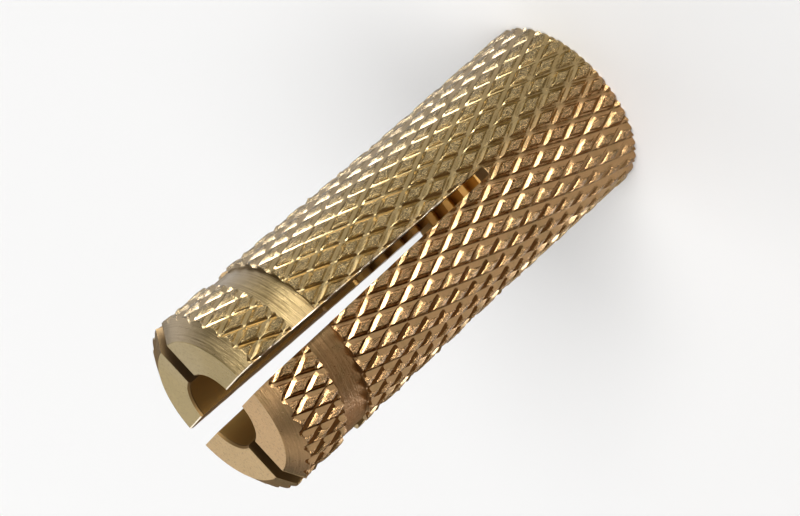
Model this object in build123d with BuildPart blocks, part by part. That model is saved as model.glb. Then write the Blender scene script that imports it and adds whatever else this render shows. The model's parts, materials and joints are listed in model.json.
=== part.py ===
from build123d import *

import os
from math import cos, radians, sin, tan

# Slotted brass drop-in anchor for an M10 bolt, turned in one piece from knurled bar.
# It stands on its plain, threaded end, with +Z along its axis and the slotted tip at
# the top.  The origin is the centre of the threaded end.  Sizes are in millimetres.

os.makedirs("parts", exist_ok=True)

# whole anchor
length = 32.0
crest_radius = 6.125        # over the crests of the knurl, for a 12 mm hole
end_chamfer = 0.15          # broken edge round the threaded end

# diamond knurl: V grooves rolled in both directions, which cross
knurl_starts = 30           # grooves round the body in each direction
knurl_rows = 22             # half diamonds along the body
knurl_depth = 0.30
ridge_share = 0.16          # part of each half diamond that its crest's ridge takes up
first_column = 0.94         # turns the pattern against the slots
first_row = -0.57           # shifts the pattern against the threaded end

# four legs between two crossed slots, splayed a little
slot_depth = 21.4
slot_width = 0.65           # at the root of the slots
leg_splay = 0.35            # how far out each leg stands at the tip

# turned tip, and the smooth band behind it
tip_flat_radius = 4.82
tip_cone_height = 0.85
band_near = 4.3             # the band's two edges, measured back from the tip
band_far = 6.4
band_inset = 0.34           # below the crests

# bore, drilled and tapped from the plain end, with a narrow hole through the tip
thread_major_radius = 5.0
thread_minor_radius = 4.19
tap_drill_depth = 20.0
drill_point_angle = 118.0
tip_bore_radius = 2.27
mouth_relief = 0.1          # the mouth's chamfer clears the thread by this

column_angle = 180.0 / knurl_starts
row_height = length / knurl_rows
slot_root = length - slot_depth


def splay(height):
    """How far the legs stand out at this height above the threaded end."""
    return leg_splay * max(0.0, height - slot_root) / slot_depth


def knurl_point(column, row, drop):
    """A point of the knurl, counted in half diamonds round and along the bar."""
    angle = radians((column + first_column) * column_angle)
    height = (row + first_row) * row_height
    radius = crest_radius - drop + splay(height)
    return Vector(radius * cos(angle), radius * sin(angle), height)


def diamond(column, row):
    """The six facets of one raised diamond, round the short ridge of its crest."""
    left = knurl_point(column - 1, row, knurl_depth)
    right = knurl_point(column + 1, row, knurl_depth)
    top = knurl_point(column, row + 1, knurl_depth)
    bottom = knurl_point(column, row - 1, knurl_depth)
    ridge_top = knurl_point(column, row + ridge_share, 0)
    ridge_bottom = knurl_point(column, row - ridge_share, 0)
    outlines = [
        (left, ridge_top, top),
        (left, ridge_bottom, ridge_top),
        (left, bottom, ridge_bottom),
        (right, top, ridge_top),
        (right, ridge_top, ridge_bottom),
        (right, ridge_bottom, bottom),
    ]
    return [Face(Wire.make_polygon(outline)) for outline in outlines]


def end_cap(row, side):
    """The cone that closes the bar past the diamonds of its first or last row."""
    middle = Vector(0, 0, (row + side) * row_height)
    faces = []
    for column in range(row % 2, 2 * knurl_starts, 2):
        left = knurl_point(column - 1, row, knurl_depth)
        right = knurl_point(column + 1, row, knurl_depth)
        point = knurl_point(column, row + side, knurl_depth)
        faces.append(Face(Wire.make_polygon((left, point, middle))))
        faces.append(Face(Wire.make_polygon((right, middle, point))))
    return faces


def knurled_bar():
    """Bar stock with the knurl all along it, a little longer than the anchor."""
    last_row = knurl_rows + 1
    faces = end_cap(0, -1) + end_cap(last_row, 1)
    for row in range(last_row + 1):
        for column in range(row % 2, 2 * knurl_starts, 2):
            faces += diamond(column, row)
    return Solid(Shell(faces))


def turned_section():
    """Half section, as radius and height, of all that the lathe leaves standing."""
    clear_radius = crest_radius + leg_splay + 1.0
    mouth_radius = thread_major_radius + mouth_relief
    mouth_height = mouth_radius - thread_minor_radius
    end_radius = crest_radius - end_chamfer
    band_bottom = length - band_far
    band_top = length - band_near
    band_radius = crest_radius - band_inset
    cone_foot = length - tip_cone_height
    cone_slope = tip_cone_height / (crest_radius - tip_flat_radius)
    cone_spread = clear_radius - crest_radius - splay(cone_foot)
    point_height = (thread_minor_radius - tip_bore_radius) / tan(radians(drill_point_angle / 2))
    neck = tap_drill_depth + point_height
    return [
        (mouth_radius, 0),
        (end_radius, 0),
        (clear_radius, clear_radius - end_radius),
        (clear_radius, band_bottom),
        (band_radius + splay(band_bottom), band_bottom),
        (band_radius + splay(band_top), band_top),
        (clear_radius, band_top),
        (clear_radius, cone_foot - cone_slope * cone_spread),
        (tip_flat_radius + splay(length), length),
        (tip_bore_radius + splay(length), length),
        (tip_bore_radius + splay(neck), neck),
        (thread_minor_radius + splay(tap_drill_depth), tap_drill_depth),
        (thread_minor_radius, slot_root),
        (thread_minor_radius, mouth_height),
    ]


with BuildPart() as anchor_body:
    add(knurled_bar())

    # turned: chamfered end, smooth band, coned tip and the whole bore
    with BuildSketch(Plane.XZ):
        with BuildLine():
            Polyline(turned_section(), close=True)
        make_face()
    revolve(axis=Axis.Z, mode=Mode.INTERSECT)

    # slit: two crossed slots, which widen towards the tip as the legs splay
    with BuildSketch(Plane.XZ, Plane.YZ):
        with BuildLine():
            Polyline(
                (-slot_width / 2, slot_root),
                (slot_width / 2, slot_root),
                (slot_width / 2 + leg_splay, length),
                (-slot_width / 2 - leg_splay, length),
                close=True,
            )
        make_face()
    extrude(amount=2 * crest_radius, both=True, mode=Mode.SUBTRACT)

anchor_body.part.label = "anchor_body"
export_step(anchor_body.part, "parts/anchor_body.step")
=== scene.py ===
import json
import math

import bpy
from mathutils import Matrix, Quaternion, Vector


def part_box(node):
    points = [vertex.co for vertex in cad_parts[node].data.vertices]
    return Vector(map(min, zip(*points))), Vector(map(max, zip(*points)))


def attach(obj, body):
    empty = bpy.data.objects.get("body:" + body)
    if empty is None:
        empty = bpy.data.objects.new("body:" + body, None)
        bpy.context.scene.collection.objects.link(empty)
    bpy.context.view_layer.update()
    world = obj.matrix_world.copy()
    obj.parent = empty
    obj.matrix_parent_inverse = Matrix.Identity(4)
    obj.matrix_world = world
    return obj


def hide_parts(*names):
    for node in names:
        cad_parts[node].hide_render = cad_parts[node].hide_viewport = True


# Knurled brass drop-in anchor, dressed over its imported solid.
# Meshes are worked out in millimetres and scaled to metres at the end.

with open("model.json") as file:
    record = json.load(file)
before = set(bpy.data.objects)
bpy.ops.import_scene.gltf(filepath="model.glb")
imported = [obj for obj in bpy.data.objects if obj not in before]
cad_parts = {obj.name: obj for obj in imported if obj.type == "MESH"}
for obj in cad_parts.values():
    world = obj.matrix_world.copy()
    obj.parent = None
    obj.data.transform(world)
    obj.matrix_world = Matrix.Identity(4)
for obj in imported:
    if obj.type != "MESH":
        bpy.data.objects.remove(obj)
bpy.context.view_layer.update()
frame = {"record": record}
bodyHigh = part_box("anchor_body")[1]
bore = next(m for m in frame["record"]["mounts"] if m["name"] == "threaded_bore")
mm = 0.001
capReach = 4.0                      # mm that the bar's and the tap's pointed ends stand out
print("frame loaded")


class Bench:
    # a node tree with short ways to add nodes and sums to it

    def __init__(self, tree):
        self.tree = tree

    def plug(self, socket, value):
        if isinstance(value, bpy.types.NodeSocket):
            self.tree.links.new(value, socket)
        else:
            socket.default_value = value

    def add(self, kind, settings=None, sockets=None):
        node = self.tree.nodes.new(kind)
        for name, value in (settings or {}).items():
            setattr(node, name, value)
        for name, value in (sockets or {}).items():
            self.plug(node.inputs[name], value)
        return node

    def calc(self, operation, *values):
        node = self.add("ShaderNodeMath", {"operation": operation})
        for socket, value in zip(node.inputs, values):
            self.plug(socket, value)
        return node.outputs[0]

    def chain(self, operation, values):
        total = values[0]
        for value in values[1:]:
            total = self.calc(operation, total, value)
        return total

    def plus(self, *values):
        return self.chain("ADD", values)

    def times(self, *values):
        return self.chain("MULTIPLY", values)

    def minus(self, first, second):
        return self.calc("SUBTRACT", first, second)

    def over(self, first, second):
        return self.calc("DIVIDE", first, second)

    def least(self, first, second):
        return self.calc("MINIMUM", first, second)

    def most(self, first, second):
        return self.calc("MAXIMUM", first, second)

    def above(self, first, second):
        return self.calc("GREATER_THAN", first, second)

    def below(self, first, second):
        return self.calc("LESS_THAN", first, second)

    def size(self, value):
        return self.calc("ABSOLUTE", value)

    def offCentre(self, phase):
        # how far the phase is from the nearest whole number, with its sign
        return self.minus(phase, self.calc("ROUND", phase))

    def reach(self, *sides):
        # length of the line whose sides along the axes are given
        squares = [self.times(side, side) for side in sides]
        return self.calc("SQRT", self.plus(*squares))

    def clamp(self, value):
        return self.add("ShaderNodeClamp", sockets={0: value}).outputs[0]

    def spread(self, value, low, high, newLow=0.0, newHigh=1.0):
        return self.add("ShaderNodeMapRange", sockets={
            "Value": value, "From Min": low, "From Max": high,
            "To Min": newLow, "To Max": newHigh}).outputs[0]

    def split(self, vector):
        return self.add("ShaderNodeSeparateXYZ", sockets={0: vector}).outputs

    def join(self, x, y, z):
        return self.add("ShaderNodeCombineXYZ", sockets={0: x, 1: y, 2: z}).outputs[0]

    def onCircle(self, radius, angle, height):
        return self.join(self.times(radius, self.calc("COSINE", angle)),
                         self.times(radius, self.calc("SINE", angle)), height)

    def noise(self, place, scale, detail=2.0, rough=0.5):
        return self.add("ShaderNodeTexNoise", sockets={
            "Vector": place, "Scale": scale, "Detail": detail, "Roughness": rough}).outputs[0]

    def blend(self, share, first, second):
        node = self.add("ShaderNodeMix", {"data_type": "RGBA"}, {"Factor": share})
        self.plug(node.inputs[6], first)
        self.plug(node.inputs[7], second)
        return node.outputs[2]

    def here(self):
        return self.add("GeometryNodeInputPosition").outputs[0]

    def grid(self, width, height, columns, rows):
        return self.add("GeometryNodeMeshGrid", sockets={
            "Size X": width, "Size Y": height, "Vertices X": columns, "Vertices Y": rows}).outputs[0]

    def move(self, geometry, position, selection=True):
        return self.add("GeometryNodeSetPosition", sockets={
            "Geometry": geometry, "Position": position, "Selection": selection}).outputs[0]

    def weld(self, geometry, distance=0.002):
        return self.add("GeometryNodeMergeByDistance", sockets={
            "Geometry": geometry, "Distance": distance}).outputs[0]

    def same(self, first, second):
        return self.add("FunctionNodeCompare", {"data_type": "INT", "operation": "EQUAL"},
                        {2: first, 3: second}).outputs[0]

    def note(self, geometry, name, value, kind, domain="POINT"):
        return self.add("GeometryNodeStoreNamedAttribute", {"data_type": kind, "domain": domain}, {
            "Geometry": geometry, "Name": name, "Value": value}).outputs[0]

    def mark(self, geometry, zone):
        return self.note(geometry, "zone", zone, "INT", "FACE")

    def cutter(self, source, zone):
        shape = self.add("GeometryNodeObjectInfo", sockets={"Object": source}).outputs["Geometry"]
        return self.mark(shape, zone)

    def carve(self, operation, first, others):
        node = self.add("GeometryNodeMeshBoolean", {"operation": operation, "solver": "MANIFOLD"})
        for other in reversed(others):
            self.plug(node.inputs["Mesh 2"], other)
        if first is not None:
            self.plug(node.inputs["Mesh 1"], first)
        return node.outputs[0]

    def shade(self, geometry, domain, smooth, selection=True):
        return self.add("GeometryNodeSetShadeSmooth", {"domain": domain}, {
            "Geometry": geometry, "Selection": selection, "Shade Smooth": smooth}).outputs[0]

    def capEnds(self, sheet, low, high):
        # closes both open ends of a tube onto its axis, at these two heights
        neighbours = self.add("GeometryNodeInputMeshEdgeNeighbors").outputs[0]
        walls = self.add("GeometryNodeExtrudeMesh", {"mode": "EDGES"}, {
            "Mesh": sheet, "Selection": self.same(neighbours, 1), "Offset Scale": 0.0})
        middle = self.times(self.plus(low, high), 0.5)
        upper = self.above(self.split(self.here())[2], middle)
        tip = self.plus(low, self.times(upper, self.minus(high, low)))
        closed = self.move(walls.outputs["Mesh"], self.join(0.0, 0.0, tip), walls.outputs["Top"])
        return self.weld(closed)


socketKinds = {int: "NodeSocketInt", float: "NodeSocketFloat",
               bpy.types.Object: "NodeSocketObject", bpy.types.Material: "NodeSocketMaterial"}


def openTree(name, values):
    # a geometry tree with one named input for each value
    tree = bpy.data.node_groups.new(name, "GeometryNodeTree")
    tree.interface.new_socket("Geometry", in_out="OUTPUT", socket_type="NodeSocketGeometry")
    for label, value in values.items():
        tree.interface.new_socket(label, in_out="INPUT", socket_type=socketKinds[type(value)])
    bench = Bench(tree)
    given = bench.add("NodeGroupInput").outputs
    return bench, given


def closeTree(bench, geometry):
    bench.add("NodeGroupOutput", sockets={0: geometry})
    return bench.tree


def addObject(name, data):
    thing = bpy.data.objects.new(name, data)
    bpy.context.scene.collection.objects.link(thing)
    return thing


def addMesh(name, verts, faces):
    mesh = bpy.data.meshes.new(name)
    mesh.from_pydata(verts, [], faces)
    return addObject(name, mesh)


def growMesh(name, tree, values):
    # runs the tree on an empty object and keeps the result as a plain mesh
    holder = addObject(name + "Holder", bpy.data.meshes.new(name + "Holder"))
    modifier = holder.modifiers.new(name, "NODES")
    modifier.node_group = tree
    for item in tree.interface.items_tree:
        if item.in_out == "INPUT":
            modifier[item.identifier] = values[item.name]
    graph = bpy.context.evaluated_depsgraph_get()
    mesh = bpy.data.meshes.new_from_object(holder.evaluated_get(graph), depsgraph=graph)
    holder.modifiers.remove(modifier)
    bpy.data.objects.remove(holder)
    mesh.name = name
    if mesh.materials and mesh.materials[0] is None:
        mesh.materials.pop(index=0)
    return addObject(name, mesh)


def turnSolid(name, profile, segments):
    # a closed solid turned from radius and height pairs, which run from axis to axis
    verts, rings = [], []
    for radius, height in profile:
        count = segments if radius > 0 else 1
        rings.append([len(verts) + k * (count > 1) for k in range(segments)])
        for k in range(count):
            angle = 2 * math.pi * k / segments
            verts.append((radius * math.cos(angle), radius * math.sin(angle), height))
    faces = []
    for lower, upper in zip(rings, rings[1:]):
        for k in range(segments):
            after = (k + 1) % segments
            corners = [lower[k], lower[after], upper[after], upper[k]]
            faces.append(tuple(dict.fromkeys(corners)))
    return addMesh(name, verts, faces)


cameraSettings = {
    "aim": (0.28, 0.0, 15.98),      # mm
    "distance": 301.7,              # mm
    "azimuth": 177.93,
    "elevation": 26.96,
    "roll": -131.88,
    "lens": 218.45,
    "sensor": 36.0,
    "clip": (0.01, 50.0),           # m
}


def makeCamera(settings):
    azimuth, elevation = math.radians(settings["azimuth"]), math.radians(settings["elevation"])
    look = Vector((-math.sin(azimuth) * math.cos(elevation),
                   math.cos(azimuth) * math.cos(elevation),
                   -math.sin(elevation)))
    data = bpy.data.cameras.new("camera")
    data.lens, data.sensor_width = settings["lens"], settings["sensor"]
    data.clip_start, data.clip_end = settings["clip"]
    camera = addObject("camera", data)
    camera.rotation_mode = "QUATERNION"
    camera.rotation_quaternion = (look.to_track_quat("-Z", "Y")
                                  @ Quaternion((0, 0, 1), math.radians(settings["roll"])))
    camera.location = (Vector(settings["aim"]) - look * settings["distance"]) * mm
    bpy.context.scene.camera = camera
    print("camera placed")


studioSettings = {
    "floorColour": (0.93, 0.93, 0.93, 1.0),
    "floorReach": 2.0,              # m from the middle to each side
    "worldColour": (1.0, 0.97, 0.93, 1.0),
    "worldStrength": 0.14,
    # name, direction round Z, height angle, distance m, width m, height m, radiance,
    # whether it lights the floor too
    "lamps": [
        ("keyLamp", 90, 57, 5.0, 4.4, 3.45, 4.8, True),
        ("sidePanel", 120, 3, 0.36, 0.28, 0.034, 42.0, False),
        ("sideWall", 165, 0, 0.15, 0.09, 0.03, 3.0, False),
        ("backPanel", 256, 37, 1.0, 1.2, 0.7, 1.45, True),
        ("topPanel", -40, 43, 1.0, 0.5, 0.45, 1.0, True),
    ],
    # strips that lie on the floor and shine up: name, side of the body that they run out from,
    # direction they run in, start m, length m, width m, radiance
    "floorStrips": [
        ("edgeStripNear", 27, -36, 0.006, 0.012, 0.003, 7.0),
        ("edgeStripFar", 27, -36, 0.02, 0.03, 0.008, 7.0),
        ("frontStrip", 90, 114, 0.05, 0.07, 0.06, 6.0),
    ],
    "stripHeight": 0.0005,          # m
    "boreLampSize": 0.005,          # m
    "boreLampRadiance": 10.0,
    # a curved brown card near the work keeps the metal from going flat; only reflections see it
    "cardColour": (0.24, 0.15, 0.075, 1.0),
    "cardFrom": -125,               # degrees round Z
    "cardTo": 82,
    "cardNear": 0.03,               # m; it winds out from the first distance to the second
    "cardFar": 0.05,
    "cardHeight": 0.037,
    "cardSteps": 24,
    "paperRoughness": 0.9,
}


def makePaper(name, colour):
    paper = bpy.data.materials.new(name)
    paper.use_nodes = True
    shader = paper.node_tree.nodes["Principled BSDF"]
    shader.inputs["Base Color"].default_value = colour
    shader.inputs["Roughness"].default_value = studioSettings["paperRoughness"]
    return paper


def areaLamp(name, width, depth, radiance):
    data = bpy.data.lights.new(name, "AREA")
    data.shape = "RECTANGLE"
    data.size, data.size_y = width, depth
    data.energy = radiance * width * depth * math.pi
    lamp = addObject(name, data)
    lamp.rotation_mode = "QUATERNION"
    lamp.visible_camera = False
    return lamp


def softLamp(name, azimuth, height, distance, width, depth, radiance, lightsFloor):
    turn, lift = math.radians(azimuth), math.radians(height)
    away = Vector((math.cos(turn) * math.cos(lift), math.sin(turn) * math.cos(lift), math.sin(lift)))
    lamp = areaLamp(name, width, depth, radiance)
    lamp.visible_diffuse = lightsFloor
    lamp.location = away * distance + Vector((0, 0, bodyHigh.z / 2))
    lamp.rotation_quaternion = (-away).to_track_quat("-Z", "Y")


def upLamp(name, place, turn, length, width, radiance):
    lamp = areaLamp(name, length, width, radiance)
    lamp.location = (place.x, place.y, studioSettings["stripHeight"])
    lamp.rotation_quaternion = Quaternion((0, 0, 1), turn) @ Quaternion((1, 0, 0), math.pi)


def floorStrip(name, side, direction, start, length, width, radiance):
    side, direction = math.radians(side), math.radians(direction)
    foot = Vector((math.cos(side), math.sin(side))) * anchorSettings["crestRadius"] * mm
    middle = foot + Vector((math.cos(direction), math.sin(direction))) * (start + length / 2)
    upLamp(name, middle, direction, length, width, radiance)


def brownCard(settings):
    verts, faces = [], []
    for k in range(settings["cardSteps"] + 1):
        share = k / settings["cardSteps"]
        turn = math.radians(settings["cardFrom"] + (settings["cardTo"] - settings["cardFrom"]) * share)
        distance = settings["cardNear"] + (settings["cardFar"] - settings["cardNear"]) * share
        foot = Vector((math.cos(turn), math.sin(turn), 0)) * distance
        verts += [foot, foot + Vector((0, 0, settings["cardHeight"]))]
        if k:
            faces.append((2 * k - 2, 2 * k, 2 * k + 1, 2 * k - 1))
    card = addMesh("brownCard", verts, faces)
    card.data.materials.append(makePaper("brownCard", settings["cardColour"]))
    card.visible_camera = False
    card.visible_diffuse = False
    card.visible_shadow = False


def makeStudio(settings):
    scene = bpy.context.scene
    far = settings["floorReach"]
    floor = addMesh("floor", [(-far, -far, 0), (far, -far, 0), (far, far, 0), (-far, far, 0)],
                    [(0, 1, 2, 3)])
    floor.data.materials.append(makePaper("paleFloor", settings["floorColour"]))
    scene.world = bpy.data.worlds.new("studio")
    scene.world.use_nodes = True
    sky = scene.world.node_tree.nodes["Background"]
    sky.inputs["Color"].default_value = settings["worldColour"]
    sky.inputs["Strength"].default_value = settings["worldStrength"]
    for lamp in settings["lamps"]:
        softLamp(*lamp)
    for strip in settings["floorStrips"]:
        floorStrip(*strip)
    side = settings["boreLampSize"]
    upLamp("boreLamp", Vector((0, 0)), 0, side, side, settings["boreLampRadiance"])
    brownCard(settings)
    scene.view_settings.view_transform = "Standard"
    print("studio lit")


anchorSettings = {                  # mm
    "length": bodyHigh.z / mm,
    "slotRoot": 10.6,               # height of the slots' ends
    "slotWidth": 0.65,
    "legSplay": 0.35,               # each leg's sideways lean at the tip
    "crestRadius": 6.125,
    "endChamfer": 0.15,
    "bandTop": 27.7,
    "bandBottom": 25.6,
    "bandRadius": 5.785,
    "tipFlatRadius": 4.82,
    "tipConeHeight": 0.85,
    "boreRadius": bore["dims"]["r_mm"],
    "mouthRadius": 5.1,
    "drillDepth": 20.0,
    "drillPointAngle": 118.0,       # degrees
    "tipBoreRadius": 2.27,
    "tipBoreChamfer": 0.12,
    "overcut": 1.0,                 # how far the lathe's tools run past the metal
    "bladeReach": 9.0,              # of the slots' blades, from the axis
    "bladeTop": 34.0,
    "turnedSegments": 256,
    "drilledSegments": 128,
}


def outerProfile(sizes):
    # clear of the knurl where the knurl is to stay
    clear = sizes["crestRadius"] + sizes["overcut"]
    endRadius = sizes["crestRadius"] - sizes["endChamfer"]
    slope = sizes["tipConeHeight"] / (sizes["crestRadius"] - sizes["tipFlatRadius"])
    return [
        (0, 0),
        (endRadius, 0),
        (clear, clear - endRadius),
        (clear, sizes["bandBottom"]),
        (sizes["bandRadius"], sizes["bandBottom"]),
        (sizes["bandRadius"], sizes["bandTop"]),
        (clear, sizes["bandTop"]),
        (clear, sizes["length"] - slope * (clear - sizes["tipFlatRadius"])),
        (sizes["tipFlatRadius"], sizes["length"]),
        (0, sizes["length"]),
    ]


def drillProfile(sizes):
    past = sizes["overcut"]
    halfPoint = math.radians(sizes["drillPointAngle"] / 2)
    point = (sizes["boreRadius"] - sizes["tipBoreRadius"]) / math.tan(halfPoint)
    return [
        (0, -past),
        (sizes["mouthRadius"] + past, -past),
        (sizes["boreRadius"], sizes["mouthRadius"] - sizes["boreRadius"]),
        (sizes["boreRadius"], sizes["drillDepth"]),
        (sizes["tipBoreRadius"], sizes["drillDepth"] + point),
        (sizes["tipBoreRadius"], sizes["length"] - sizes["tipBoreChamfer"]),
        (sizes["tipBoreRadius"] + sizes["tipBoreChamfer"] + past, sizes["length"] + past),
        (0, sizes["length"] + past),
    ]


def slotBlade(name, sizes, halfX, halfY):
    # a flat blade from the slots' root to past the tip
    corners = [(x, y, z) for z in (sizes["slotRoot"], sizes["bladeTop"]) for x, y in
               ((-halfX, -halfY), (halfX, -halfY), (halfX, halfY), (-halfX, halfY))]
    faces = [(3, 2, 1, 0), (4, 5, 6, 7), (0, 1, 5, 4), (1, 2, 6, 5), (2, 3, 7, 6), (3, 0, 4, 7)]
    return addMesh(name, corners, faces)


threadSettings = {
    "Pitch": 1.5,
    "Major Radius": 5.0,
    "Hidden Radius": 4.1,           # just inside the drilled bore, so that the drill makes the crests
    "Thread End": 17.5,
    "Run Out": 1.6,
    "Turns": 14,
    "Turns Below": 2.0,             # that start before the mouth
    "Segments": 160,
}


def threadTree():
    # a tap that leaves a right-hand thread: a tube whose radius follows a helix
    bench, given = openTree("threadTap", threadSettings)
    rows = bench.times(given["Turns"], 4)
    grid = bench.grid(1.0, rows, bench.plus(given["Segments"], 1), bench.plus(rows, 1))
    across, along, unused = bench.split(bench.here())
    share = bench.plus(across, 0.5)                          # 0 to 1 round the tube
    row = bench.calc("ROUND", bench.plus(along, bench.times(rows, 0.5)))
    turn = bench.calc("FLOOR", bench.times(row, 0.25))
    step = bench.calc("ROUND", bench.minus(row, bench.times(turn, 4)))
    # each pitch has four rows: a crest a quarter of it wide, a root an eighth wide, and two flanks
    place = bench.plus(bench.times(bench.least(step, 1.0), 0.25),
                       bench.times(bench.above(step, 1.5), 0.3125),
                       bench.times(bench.above(step, 2.5), 0.125))
    height = bench.times(bench.minus(bench.plus(turn, place, share), given["Turns Below"]),
                         given["Pitch"])
    fade = bench.clamp(bench.over(bench.minus(given["Thread End"], height), given["Run Out"]))
    depth = bench.minus(given["Major Radius"], given["Hidden Radius"])
    radius = bench.plus(given["Hidden Radius"], bench.times(bench.above(step, 1.5), fade, depth))
    tube = bench.weld(bench.move(grid, bench.onCircle(radius, bench.times(share, 2 * math.pi), height)))
    length = bench.times(given["Turns"], given["Pitch"])
    return closeTree(bench, bench.capEnds(tube, -capReach, length))


knurlSettings = {
    "Starts": 30,                   # grooves round the body in each direction
    "Rows": 24,                     # half diamonds along the bar, which runs past both ends
    "Row Height": 32.0 / 22.0,      # mm, as are the lengths below
    "First Column": 0.94,           # in half diamonds, turns the pattern against the slots
    "First Row": -0.57,             # and shifts it against the threaded end
    "Tile Steps": 10,               # quads along each side of a diamond
    "Groove Pitch": 1.17,           # square to the groove
    "Rising Round": 0.035,          # rounding of each groove's bottom
    "Falling Round": 0.035,
    "Flank Slope": 0.85,
    "Dragged Slope": 0.72,          # one flank of each rising groove is dragged flatter
    "Steep Slope": 1.05,            # and the other is pushed steeper
    "Depth": 0.31,
    "Shallow By": 0.08,             # the knurl is shallower along one side
    "Shallow Side": 126.0,          # degrees
    "Groove Scatter": 0.02,
    "Edge Wear": 0.022,
    "Crest Wear": 0.05,
    "Wear Scale": 3.2,
    "Torn Edge": 0.08,              # how far below the crests the metal is still torn
    "Slot Burr": 0.09,
    "Burr Scale": 1.7,
    "Burr From": 5.7,               # from the axis, so that only the outer edges have burrs
    "Seed": 7,
}


def knurledBar(bench, given):
    # one diamond tile, repeated in staggered rows, wound onto the bar and pressed into grooves
    x, y, unused = bench.split(bench.here())
    steps = bench.plus(given["Tile Steps"], 1)
    tile = bench.grid(1.0, 1.0, steps, steps)

    def crowd(place, bottom):
        # the outermost quads are narrowed to cover just the groove's round bottom
        gap = bench.minus(0.5, bench.size(place))
        edge = bench.over(1.0, given["Tile Steps"])
        share = bench.over(bench.times(bottom, 2.0), given["Groove Pitch"])
        stretch = bench.over(bench.minus(0.5, share), bench.minus(0.5, edge))
        inner = bench.plus(share, bench.times(bench.minus(gap, edge), stretch))
        outer = bench.times(gap, bench.over(share, edge))
        kept = bench.plus(outer, bench.times(bench.above(gap, edge), bench.minus(inner, outer)))
        return bench.times(bench.calc("SIGN", place), bench.minus(0.5, kept))

    # the triangles' diagonals follow the ridges of the diamond
    risen = bench.above(bench.times(x, y), 0.0)
    tile = bench.add("GeometryNodeTriangulate", {"quad_method": "FIXED"},
                     {"Mesh": tile, "Selection": risen}).outputs[0]
    tile = bench.add("GeometryNodeTriangulate", {"quad_method": "FIXED_ALTERNATE"},
                     {"Mesh": tile}).outputs[0]
    down, up = crowd(x, given["Falling Round"]), crowd(y, given["Rising Round"])
    tile = bench.move(tile, bench.join(bench.minus(down, up), bench.plus(down, up), 0.0))
    starts, rows = given["Starts"], given["Rows"]
    lastStart, lastRow = bench.minus(starts, 1), bench.minus(rows, 1)
    seats = bench.grid(bench.times(lastStart, 2), lastRow, starts, rows)
    row = bench.calc("ROUND", bench.plus(y, bench.times(lastRow, 0.5)))
    column = bench.plus(x, lastStart, bench.calc("FLOORED_MODULO", row, 2))
    seats = bench.move(seats, bench.join(column, row, 0.0))
    tiles = bench.add("GeometryNodeInstanceOnPoints", sockets={
        "Points": seats, "Instance": tile}).outputs[0]
    sheet = bench.add("GeometryNodeRealizeInstances", sockets={"Geometry": tiles}).outputs[0]

    # x now counts half diamonds round the bar, and y along it
    angle = bench.calc("RADIANS", bench.times(bench.plus(x, given["First Column"]),
                                              bench.over(180.0, starts)))
    height = bench.times(bench.plus(y, given["First Row"]), given["Row Height"])
    toShallow = bench.calc("COSINE", bench.minus(angle, bench.calc("RADIANS", given["Shallow Side"])))
    closeness = bench.calc("POWER", bench.times(bench.plus(toShallow, 1.0), 0.5), 4.0)
    depth = bench.minus(given["Depth"], bench.times(given["Shallow By"], closeness))

    def groove(phase, rounding, slope, seedShift):
        # height of the flank over the groove nearest to this place; each groove has its own depth
        gap = bench.times(bench.minus(0.5, bench.size(bench.offCentre(phase))), given["Groove Pitch"])
        rise = bench.times(bench.minus(bench.reach(gap, rounding), rounding), slope)
        # the nudge keeps both ends of the joined sheet in one groove
        name = bench.calc("FLOORED_MODULO", bench.calc("FLOOR", bench.plus(phase, 0.001)), starts)
        chance = bench.add("FunctionNodeRandomValue", {"data_type": "FLOAT"}, {
            "ID": name, "Seed": bench.plus(given["Seed"], seedShift)}).outputs[1]
        return bench.minus(rise, bench.times(given["Groove Scatter"], chance))

    u, v = bench.times(bench.plus(x, y), 0.5), bench.times(bench.minus(x, y), 0.5)
    risingSlope = bench.plus(given["Steep Slope"], bench.times(
        bench.above(bench.offCentre(v), 0.0),
        bench.minus(given["Dragged Slope"], given["Steep Slope"])))
    falling = groove(u, given["Falling Round"], given["Flank Slope"], 1)
    rising = groove(v, given["Rising Round"], risingSlope, 2)
    flank = bench.minus(bench.calc("SMOOTH_MIN", falling, rising, given["Edge Wear"]), depth)

    # the crests are worn down to an uneven height
    rough = bench.noise(bench.onCircle(given["Crest Radius"], angle, height),
                        given["Wear Scale"], 2.0, 0.7)
    crest = bench.times(bench.plus(rough, -0.75), given["Crest Wear"], 2.0)
    radius = bench.plus(given["Crest Radius"], bench.least(
        bench.calc("SMOOTH_MIN", flank, crest, given["Edge Wear"]), 0.0))
    # the finish needs to know what is crest, and where it lies between the grooves
    onCrest = bench.clamp(bench.plus(1.0, bench.over(bench.minus(flank, crest), given["Torn Edge"])))
    sheet = bench.note(sheet, "crest", onCrest, "FLOAT")
    sheet = bench.note(sheet, "knurlPlace", bench.join(u, v, flank), "FLOAT_VECTOR")
    bar = bench.weld(bench.move(sheet, bench.onCircle(radius, angle, height)))
    return bench.capEnds(bar, -capReach, bench.plus(given["Length"], capReach))


zoneFinishes = ("Knurled Brass", "Turned Brass", "Sawn Brass", "Tapped Brass")
knurledZone, turnedZone, sawnZone, tappedZone = range(len(zoneFinishes))


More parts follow.
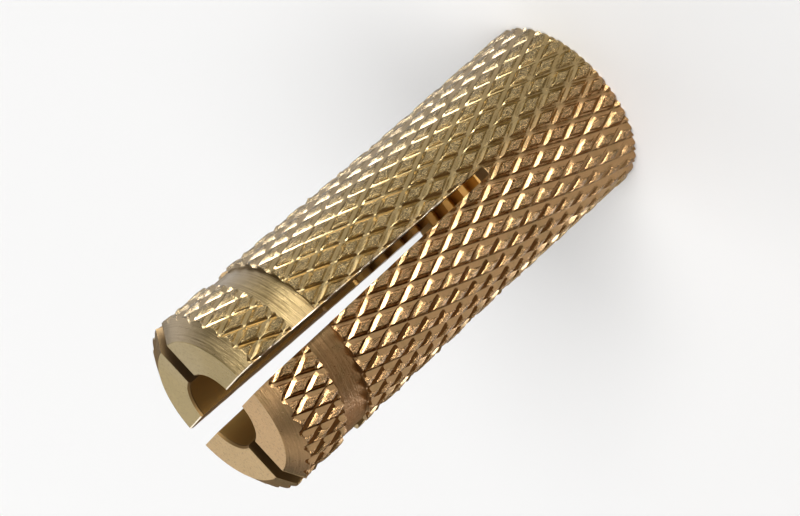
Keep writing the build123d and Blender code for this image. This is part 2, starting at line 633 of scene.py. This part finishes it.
def anchorTree(values):
    bench, given = openTree("anchor", values)
    bar = bench.mark(knurledBar(bench, given), knurledZone)
    body = bench.carve("INTERSECT", None, [bar, bench.cutter(given["Turned Shape"], turnedZone)])
    body = bench.carve("DIFFERENCE", body, [bench.cutter(given["Drill"], tappedZone),
                                            bench.cutter(given["Tap"], tappedZone)])
    body = bench.carve("DIFFERENCE", body, [bench.cutter(given["Slot X"], sawnZone),
                                            bench.cutter(given["Slot Y"], sawnZone)])
    body = bench.weld(body, 0.0002)                          # takes out slivers that the cuts leave

    # burrs stand on the slots' outer edges
    position = bench.here()
    x, y, z = bench.split(position)
    outward = bench.reach(x, y)
    nearSlot = bench.least(bench.size(x), bench.size(y))
    pastWall, pastRoot = 0.01, 0.1                           # mm
    onEdge = bench.times(
        bench.below(nearSlot, bench.plus(bench.times(given["Slot Width"], 0.5), pastWall)),
        bench.above(outward, given["Burr From"]),
        bench.above(z, bench.plus(given["Slot Root"], pastRoot)))
    # only the noise's upper two thirds lift the edge
    ragged = bench.plus(bench.times(bench.noise(position, given["Burr Scale"], 3.0), 3.0), -1.0)
    lift = bench.times(onEdge, given["Slot Burr"], bench.most(ragged, 0.0))
    grow = bench.plus(1.0, bench.over(lift, bench.most(outward, 1.0)))
    # the four legs lean out from the roots of the slots
    upLeg = bench.over(bench.minus(z, given["Slot Root"]),
                       bench.minus(given["Length"], given["Slot Root"]))
    lean = bench.times(given["Leg Splay"], bench.most(upLeg, 0.0))
    body = bench.move(body, bench.join(
        bench.plus(bench.times(x, grow), bench.times(bench.calc("SIGN", x), lean)),
        bench.plus(bench.times(y, grow), bench.times(bench.calc("SIGN", y), lean)), z))

    # crisp edges stay crisp; the knurl's hollow edges have to be sharper than the others for that
    crispBend, hollowBend = math.radians(20.0), math.radians(55.0)
    bend, signedBend = bench.add("GeometryNodeInputMeshEdgeAngle").outputs
    hollow = bench.times(bench.below(signedBend, 0.0), bench.above(outward, given["Band Radius"]))
    crisp = bench.above(bend, bench.plus(crispBend, bench.times(hollow, hollowBend - crispBend)))
    body = bench.shade(body, "FACE", True)
    body = bench.shade(body, "EDGE", False, crisp)
    body = bench.add("GeometryNodeTransform", sockets={
        "Geometry": body, "Scale": (mm, mm, mm)}).outputs[0]
    body = bench.add("GeometryNodeRealizeInstances", sockets={"Geometry": body}).outputs[0]
    zone = bench.add("GeometryNodeInputNamedAttribute", {"data_type": "INT"},
                     {"Name": "zone"}).outputs[0]
    for number, label in enumerate(zoneFinishes):
        body = bench.add("GeometryNodeSetMaterial", sockets={
            "Geometry": body, "Selection": bench.same(zone, number),
            "Material": given[label]}).outputs[0]
    return closeTree(bench, body)


brassTones = {
    "oliveGold": (0.375, 0.28, 0.135, 1.0),
    # the orange and rosy golds, and the sides they lie on, are painted reflection tints
    "orangeReflectionGold": (0.39, 0.235, 0.108, 1.0),
    "rosyReflectionGold": (0.36, 0.285, 0.19, 1.0),
    "dullGold": (0.2, 0.15, 0.062, 1.0),
    # the bright gold below is fresh-cut brass, used as a painted highlight on the sawn lip
    "freshAndHighlightGold": (0.85, 0.76, 0.6, 1.0),
    # tarnish in pits and turning lines, also the colour of the painted groove shade
    "tarnishAndShade": (0.115, 0.075, 0.028, 1.0),
    "warmReflectionSide": 48.0,               # degrees round the body where the painted orange reflection tint is strongest
    "warmReflectionEdge": (0.62, 0.84),       # cosines of the turn from there, where the tone fades out
    "rosyReflectionSide": 168.0,
    "rosyReflectionEdge": (0.75, 0.97),
    "dullScale": 0.9,
    "dullLevels": (0.48, 0.68),
    "dullShare": 0.35,
    "lipWidth": 0.08,               # mm
    "lipFrom": 13.0,                # mm up, from where the sawn lip is painted bright: fresh metal and a painted highlight
}


def startBrass(name):
    material = bpy.data.materials.new(name)
    material.use_nodes = True
    shader = material.node_tree.nodes["Principled BSDF"]
    shader.inputs["Metallic"].default_value = 1
    bench = Bench(material.node_tree)
    place = bench.add("ShaderNodeTexCoord").outputs["Object"]
    place = bench.add("ShaderNodeVectorMath", {"operation": "SCALE"}, {
        0: place, "Scale": 1 / mm}).outputs[0]
    return material, bench, shader, place


def finishBrass(bench, shader, colour, roughness, relief):
    # relief is a height in millimetres
    bench.plug(shader.inputs["Base Color"], colour)
    bench.plug(shader.inputs["Roughness"], roughness)
    bump = bench.add("ShaderNodeBump", sockets={"Strength": 1.0, "Distance": mm, "Height": relief})
    bench.plug(shader.inputs["Normal"], bump.outputs[0])


def facing(bench, place, side, edge):
    # 1 where the body faces this side, going down to 0 round it
    x, y, z = bench.split(place)
    turn = bench.minus(bench.calc("ARCTAN2", y, x), math.radians(side))
    return bench.spread(bench.calc("COSINE", turn), *edge)


def brassTone(bench, place):
    # painted reflection: the olive gold turns to an orange gold on one side and a rosy one on another,
    # tints that reflected surroundings give the brass; the cloudy dull patches are its own uneven
    # tarnish
    tones = brassTones
    warm = facing(bench, place, tones["warmReflectionSide"], tones["warmReflectionEdge"])
    rosy = facing(bench, place, tones["rosyReflectionSide"], tones["rosyReflectionEdge"])
    tone = bench.blend(warm, tones["oliveGold"], tones["orangeReflectionGold"])
    tone = bench.blend(rosy, tone, tones["rosyReflectionGold"])
    clouds = bench.noise(place, tones["dullScale"], 3.0, 0.6)
    dull = bench.spread(clouds, *tones["dullLevels"], 0.0, tones["dullShare"])
    return bench.blend(dull, tone, tones["dullGold"])


def freshLipAndHighlight(bench, place, tone):
    # the saw leaves a thin bright lip along one edge of the first slot; its bright colour is partly
    # fresh metal and partly a painted highlight, laid only where the light catches that edge
    sizes, width = anchorSettings, brassTones["lipWidth"]
    x, y, z = bench.split(place)
    lean = sizes["legSplay"] / (sizes["length"] - sizes["slotRoot"])
    halfGap = bench.plus(sizes["slotWidth"] / 2, bench.times(bench.plus(z, -sizes["slotRoot"]), lean))
    offset = bench.size(bench.plus(x, halfGap, width / 2))
    lip = bench.times(bench.below(offset, width / 2), bench.above(z, brassTones["lipFrom"]))
    return bench.blend(lip, tone, brassTones["freshAndHighlightGold"])


knurledFinish = {
    "roughness": 0.06,              # of the flanks, which the wheel has burnished
    "crestRougher": 0.13,
    "pitRougher": 0.08,
    "streaks": 26.0,                # across one half diamond
    "streakDepth": 0.009,           # mm
    "crestLines": 7.0,              # turning lines left on the crests, to the millimetre
    "crestLineDepth": 0.02,
    "pitScale": 9.0,
    "flankPits": 0.005,             # depth on the flanks
    "crestPits": 0.17,              # and what the torn crests add to it
    "pitLevels": (0.4, 0.54),       # noise below the first is full of tarnish, above the second clean
    "pitTarnish": 0.9,
    "flankTarnish": 0.15,           # how much of that the flanks hold
    # the next three set painted shade on the steep flanks of the rising grooves, on the warm side
    "grooveShade": 0.5,
    "grooveLevels": (0.39, 0.45),   # parts of a pitch from the crest between which it sets in
    "gentleCleaner": 0.06,          # and how much later that is on the gentle side
}


def knurledBrass(finish):
    material, bench, shader, place = startBrass("knurledBrass")
    crest = bench.add("ShaderNodeAttribute", {"attribute_name": "crest"}).outputs["Fac"]
    u, v, unused = bench.split(bench.add("ShaderNodeAttribute", {
        "attribute_name": "knurlPlace"}).outputs["Vector"])
    toU, toV = bench.size(bench.offCentre(u)), bench.size(bench.offCentre(v))
    # the wheel leaves streaks on each flank, along its own groove; the last values keep the two apart
    across = bench.blend(bench.above(toU, toV),
                         bench.join(bench.times(v, finish["streaks"]), u, 0.0),
                         bench.join(bench.times(u, finish["streaks"]), v, 3.0))
    streaks = bench.noise(across, 1.0, 3.0, 0.6)
    z = bench.split(place)[2]
    lines = bench.noise(bench.join(0.0, 0.0, bench.times(z, finish["crestLines"])), 1.0, 2.0, 0.6)
    pits = bench.noise(place, finish["pitScale"], 4.0, 0.7)
    relief = bench.plus(
        bench.times(streaks, finish["streakDepth"], bench.minus(1.0, crest)),
        bench.times(lines, finish["crestLineDepth"], crest),
        bench.times(pits, bench.plus(finish["flankPits"], bench.times(crest, finish["crestPits"]))))
    roughness = bench.plus(finish["roughness"], bench.times(crest, finish["crestRougher"]),
                           bench.times(bench.plus(pits, -0.5), finish["pitRougher"]))
    # the torn crests hold tarnish in their pits
    held = bench.plus(finish["flankTarnish"], bench.times(crest, 1.0 - finish["flankTarnish"]))
    dirt = bench.times(bench.spread(pits, *finish["pitLevels"], finish["pitTarnish"], 0.0), held)
    tone = bench.blend(dirt, brassTone(bench, place), brassTones["tarnishAndShade"])
    # on the warm side, painted shade darkens the steep side of the rising grooves
    gentle = bench.above(bench.offCentre(v), 0.0)
    nearGroove = bench.minus(toV, bench.times(gentle, finish["gentleCleaner"]))
    warm = facing(bench, place, brassTones["warmReflectionSide"], brassTones["warmReflectionEdge"])
    paintedGrooveShade = bench.times(bench.spread(nearGroove, *finish["grooveLevels"]),
                          finish["grooveShade"], warm)
    tone = bench.blend(paintedGrooveShade, tone, brassTones["tarnishAndShade"])
    finishBrass(bench, shader, freshLipAndHighlight(bench, place, tone), roughness, relief)
    return material


turnedFinish = {
    "roughness": 0.3,
    "unevenness": 0.15,             # of the roughness
    "lines": 10.0,                  # turning lines to the millimetre
    "waver": 0.3,                   # how fast they change round the body
    "lineDepth": 0.075,             # mm, on the side where the tool chattered
    "chatterSide": 108.0,           # degrees round the body
    "chatterEdge": (0.8, 0.97),
    "calmShare": 0.3,               # of that depth all round
    "lineLevels": (0.36, 0.6),
    "lineTarnish": 0.9,
    "fineScale": 9.0,
    "fineDepth": 0.012,
    "flatLitGold": (0.42, 0.265, 0.112, 1.0),    # the tip's flat on the warm side of the slot, a painted lit tone
    "flatShadedOlive": (0.27, 0.202, 0.072, 1.0),   # and on the other side, a darker painted shaded tone
    "flatShare": 0.65,              # how much of the flat takes those painted tones
    "flatCalm": 0.25,               # share of the line depth that the flat has
    "flatPits": 0.01,
    "flatPitScale": 5.0,
    "flatSpecks": 0.55,
    "flatSpeckLevels": (0.36, 0.47),
    "flatWithin": 0.03,             # mm below the tip
}


def turnedBrass(finish):
    material, bench, shader, place = startBrass("turnedBrass")
    x, y, z = bench.split(place)
    along = bench.times(bench.minus(bench.reach(x, y), z), finish["lines"])
    sideways = bench.times(x, finish["waver"]), bench.times(y, finish["waver"])
    lines = bench.noise(bench.join(along, *sideways), 1.0, 4.0, 0.7)
    fine = bench.noise(place, finish["fineScale"])
    pits = bench.noise(place, finish["flatPitScale"], 4.0, 0.7)
    chatter = facing(bench, place, finish["chatterSide"], finish["chatterEdge"])
    onFlat = bench.above(z, anchorSettings["length"] - finish["flatWithin"])
    strength = bench.times(
        bench.plus(finish["calmShare"], bench.times(chatter, 1.0 - finish["calmShare"])),
        bench.minus(1.0, bench.times(onFlat, 1.0 - finish["flatCalm"])))
    relief = bench.plus(bench.times(lines, finish["lineDepth"], strength),
                        bench.times(fine, finish["fineDepth"]),
                        bench.times(onFlat, pits, finish["flatPits"]))
    roughness = bench.plus(finish["roughness"],
                           bench.times(bench.plus(fine, -0.5), finish["unevenness"]))
    # the two halves of the tip's flat get painted lit and shaded tones, split at the slot
    flatTone = bench.blend(bench.above(x, 0.0), finish["flatShadedOlive"], finish["flatLitGold"])
    tone = bench.blend(bench.times(onFlat, finish["flatShare"]), brassTone(bench, place), flatTone)
    dirt = bench.times(bench.spread(lines, *finish["lineLevels"], finish["lineTarnish"], 0.0), strength)
    specks = bench.times(
        onFlat, bench.spread(pits, *finish["flatSpeckLevels"], finish["flatSpecks"], 0.0))
    tone = bench.blend(bench.most(dirt, specks), tone, brassTones["tarnishAndShade"])
    finishBrass(bench, shader, freshLipAndHighlight(bench, place, tone), roughness, relief)
    return material


sawnFinish = {
    "gold": (0.25, 0.15, 0.055, 1.0),
    "share": 0.6,                   # how far the walls' tone is pulled towards that darker brown
    "roughness": 0.38,
    "sawRadius": 25.0,              # mm
    "lines": 9.0,
    "lineDepth": 0.01,
    "fineScale": 9.0,
    "fineDepth": 0.004,
}


def sawnBrass(finish):
    # the saw leaves arcs round its own centre, high above the slots' root
    material, bench, shader, place = startBrass("sawnBrass")
    x, y, z = bench.split(place)
    fromCentre = bench.reach(x, y, bench.plus(z, -anchorSettings["slotRoot"] - finish["sawRadius"]))
    arcs = bench.noise(bench.join(bench.times(fromCentre, finish["lines"]), 0.0, 0.0), 1.0, 3.0, 0.7)
    fine = bench.noise(place, finish["fineScale"])
    relief = bench.plus(bench.times(arcs, finish["lineDepth"]), bench.times(fine, finish["fineDepth"]))
    tone = bench.blend(finish["share"], brassTone(bench, place), finish["gold"])
    finishBrass(bench, shader, tone, finish["roughness"], relief)
    return material


tappedFinish = {
    "gold": (0.42, 0.25, 0.075, 1.0),
    "rimGold": (0.25, 0.15, 0.055, 1.0),
    "rimDepth": 0.2,                # mm below the tip
    "metallic": 0.9,                # a film of cutting oil dulls it
    "roughness": 0.5,
    "fineScale": 6.0,
    "fineDepth": 0.006,
}


def tappedBrass(finish):
    material, bench, shader, place = startBrass("tappedBrass")
    shader.inputs["Metallic"].default_value = finish["metallic"]
    atRim = bench.above(bench.split(place)[2], anchorSettings["length"] - finish["rimDepth"])
    tone = bench.blend(atRim, finish["gold"], finish["rimGold"])
    fine = bench.noise(place, finish["fineScale"], 3.0)
    finishBrass(bench, shader, tone, finish["roughness"], bench.times(fine, finish["fineDepth"]))
    return material


def makeAnchor(sizes):
    thin, wide = sizes["slotWidth"] / 2, sizes["bladeReach"]
    tools = {
        "Turned Shape": turnSolid("turnedShape", outerProfile(sizes), sizes["turnedSegments"]),
        "Drill": turnSolid("drill", drillProfile(sizes), sizes["drilledSegments"]),
        "Tap": growMesh("tap", threadTree(), threadSettings),
        "Slot X": slotBlade("slotX", sizes, thin, wide),
        "Slot Y": slotBlade("slotY", sizes, wide, thin),
    }
    bodySizes = {
        "Length": sizes["length"],
        "Crest Radius": sizes["crestRadius"],
        "Band Radius": sizes["bandRadius"],
        "Slot Root": sizes["slotRoot"],
        "Slot Width": sizes["slotWidth"],
        "Leg Splay": sizes["legSplay"],
    }
    finishes = dict(zip(zoneFinishes, (
        knurledBrass(knurledFinish), turnedBrass(turnedFinish),
        sawnBrass(sawnFinish), tappedBrass(tappedFinish))))
    print("tools and finishes ready")
    values = {**knurlSettings, **bodySizes, **tools, **finishes}
    anchor = growMesh("anchor", anchorTree(values), values)
    for tool in tools.values():
        bpy.data.objects.remove(tool)
    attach(anchor, "root")
    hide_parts("anchor_body")
    print("anchor made:", len(anchor.data.polygons), "faces,",
          sum(len(p.vertices) - 2 for p in anchor.data.polygons), "triangles")


makeCamera(cameraSettings)
makeStudio(studioSettings)
makeAnchor(anchorSettings)
